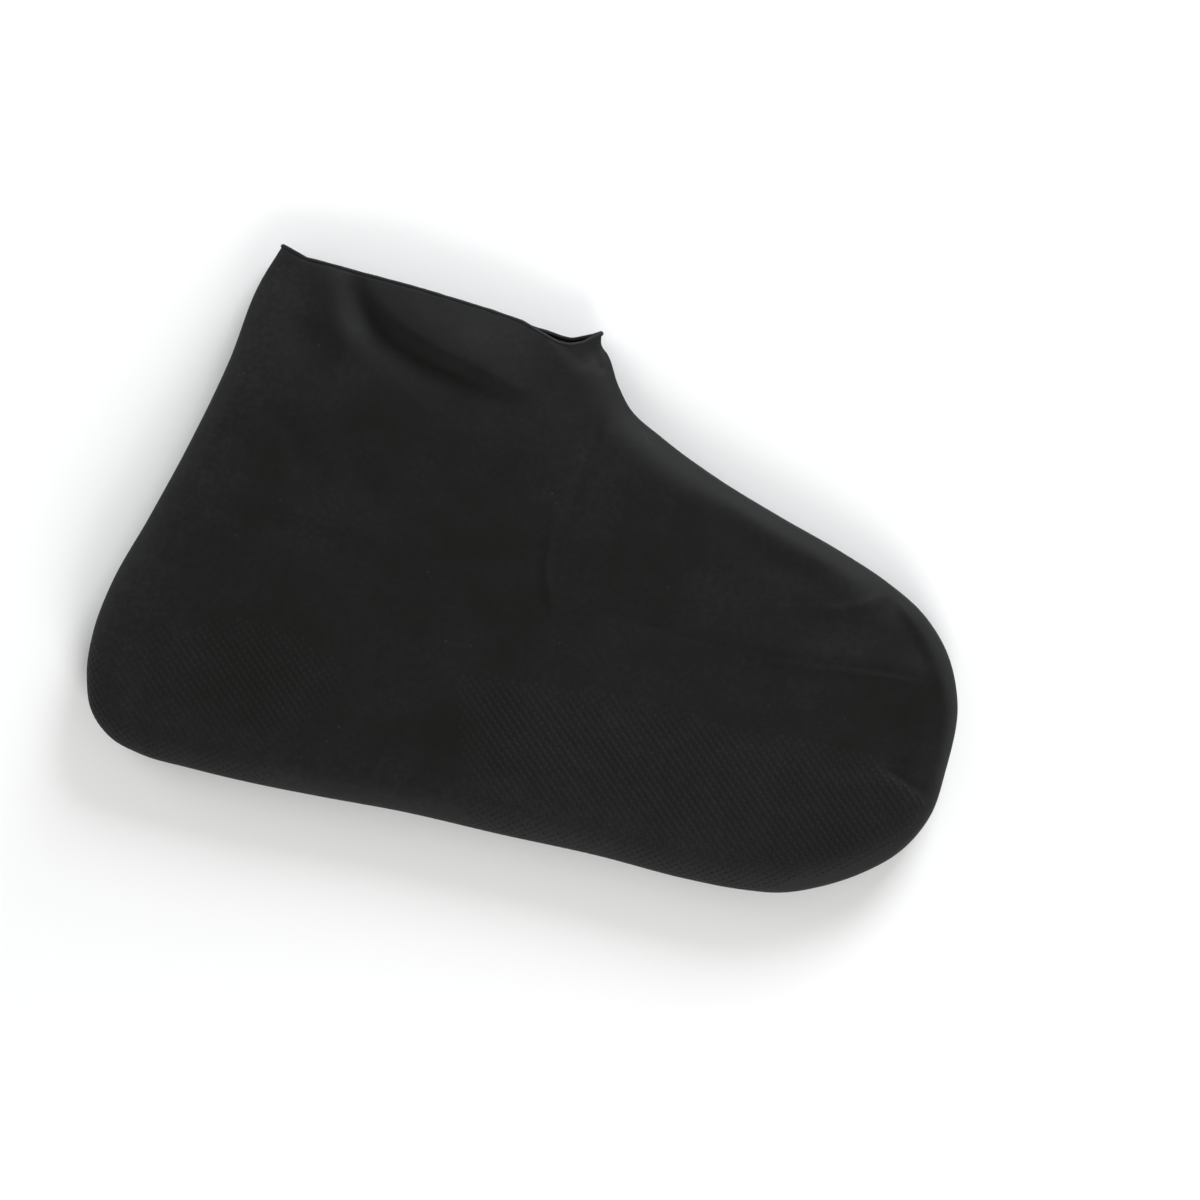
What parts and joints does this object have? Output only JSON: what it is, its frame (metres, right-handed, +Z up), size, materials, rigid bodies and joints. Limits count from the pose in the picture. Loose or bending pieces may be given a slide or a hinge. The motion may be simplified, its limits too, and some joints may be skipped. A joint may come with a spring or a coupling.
{
  "type": "rubber overshoe",
  "caption": "Thin black dipped-rubber overshoe lying flat on its side: a hollow foot-shaped shell with a rolled hem round the open leg.",
  "frame": {"origin": "on the table under the middle of the overshoe's bounding box", "axes": "+X along the sole from heel to toe, +Y from the sole up to the leg opening, +Z up from the table, through the thickness of the flattened overshoe"},
  "size_m": [0.2803, 0.1733, 0.018],
  "materials": {
    "black_rubber": "matte black dipped rubber with a faint satin sheen and a fine studded grip on the sole and lower sides"
  },
  "bodies": {
    "root": {"overshoe_shell": "black_rubber"}
  },
  "joints": []
}
